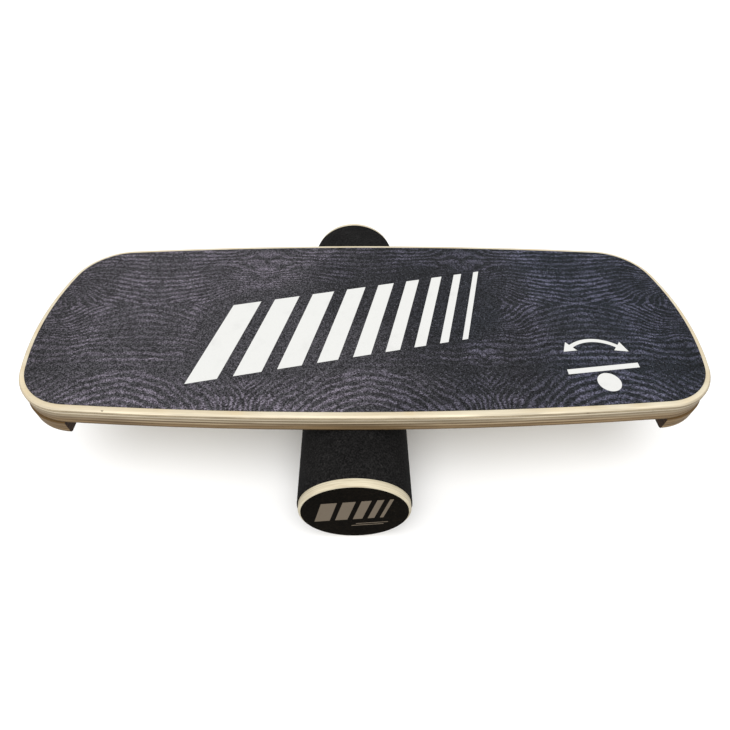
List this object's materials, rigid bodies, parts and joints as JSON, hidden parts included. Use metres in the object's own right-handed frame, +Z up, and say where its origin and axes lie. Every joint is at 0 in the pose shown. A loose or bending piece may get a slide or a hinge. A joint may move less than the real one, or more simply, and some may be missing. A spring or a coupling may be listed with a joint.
{
  "type": "balance board",
  "caption": "Roller balance board: a gripped plywood deck with end stops travels, tilts and rolls on a covered cylinder.",
  "frame": {"origin": "on the floor under the middle of the whole object's box", "axes": "+X along the deck to the right end, +Y along the roller away from the front end, +Z up"},
  "size_m": [0.8, 0.467, 0.1534],
  "materials": {
    "deck_face_veneer": "light birch face veneer, clear lacquer",
    "deck_light_veneer": "light edge-grain veneer, clear lacquer",
    "deck_dark_veneer": "darker end-grain veneer, clear lacquer",
    "stop_light_veneer": "light edge-grain veneer, clear lacquer",
    "stop_dark_veneer": "darker end-grain veneer, clear lacquer",
    "grip_sheet": "printed gritty sheet, matt",
    "screw_steel": "zinc plated",
    "core_tube": "plain tube",
    "plug_wood": "plain plywood",
    "cap_wood": "light wood, clear lacquer",
    "end_grip": "printed gritty sheet, matt",
    "roller_sleeve": "fine textured black sleeve, matt",
    "deck_print": "white screen print over the grip, matt",
    "end_print": "taupe screen print over the grip, matt"
  },
  "bodies": {
    "core": {"core_tube": "core_tube"},
    "carrier": {"tube_plug_front": "plug_wood", "tube_plug_rear": "plug_wood"},
    "deck": {"deck_ply_01": "deck_face_veneer", "deck_ply_02": "deck_dark_veneer", "deck_ply_03": "deck_light_veneer", "deck_ply_04": "deck_dark_veneer", "deck_ply_05": "deck_light_veneer", "deck_ply_06": "deck_dark_veneer", "deck_ply_07": "deck_light_veneer", "deck_ply_08": "deck_dark_veneer", "deck_ply_09": "deck_light_veneer", "deck_ply_10": "deck_dark_veneer", "deck_ply_11": "deck_face_veneer", "grip_sheet": "grip_sheet", "stop_left_ply_1": "stop_light_veneer", "stop_left_ply_2": "stop_dark_veneer", "stop_left_ply_3": "stop_light_veneer", "stop_left_ply_4": "stop_dark_veneer", "stop_left_ply_5": "stop_light_veneer", "stop_left_ply_6": "stop_dark_veneer", "stop_left_ply_7": "stop_light_veneer", "stop_left_ply_8": "stop_dark_veneer", "stop_right_ply_1": "stop_light_veneer", "stop_right_ply_2": "stop_dark_veneer", "stop_right_ply_3": "stop_light_veneer", "stop_right_ply_4": "stop_dark_veneer", "stop_right_ply_5": "stop_light_veneer", "stop_right_ply_6": "stop_dark_veneer", "stop_right_ply_7": "stop_light_veneer", "stop_right_ply_8": "stop_dark_veneer", "stop_screws_left": "screw_steel", "stop_screws_right": "screw_steel"},
    "roller": {"roller_sleeve": "roller_sleeve", "end_cap_front": "cap_wood", "end_cap_rear": "cap_wood", "end_grip_front": "end_grip", "end_grip_rear": "end_grip"}
  },
  "joints": [
    {"name": "deck_tilt", "type": "hinge", "parent": "core", "child": "carrier", "pos_m": [-0.016, 0, 0.0635], "axis": [0, -1, 0], "range_deg": [-15, 15]},
    {"name": "deck_travel", "type": "slide", "parent": "carrier", "child": "deck", "axis": [1, 0, 0], "range_m": [-0.3005, 0.2685]},
    {"name": "roller_spin", "type": "hinge", "parent": "carrier", "child": "roller", "pos_m": [-0.016, 0, 0.0635], "axis": [0, 1, 0], "continuous": true}
  ],
  "couplings": [
    {"joint": "roller_spin", "follows": "deck_travel", "rad_per_m": 15.748}
  ]
}
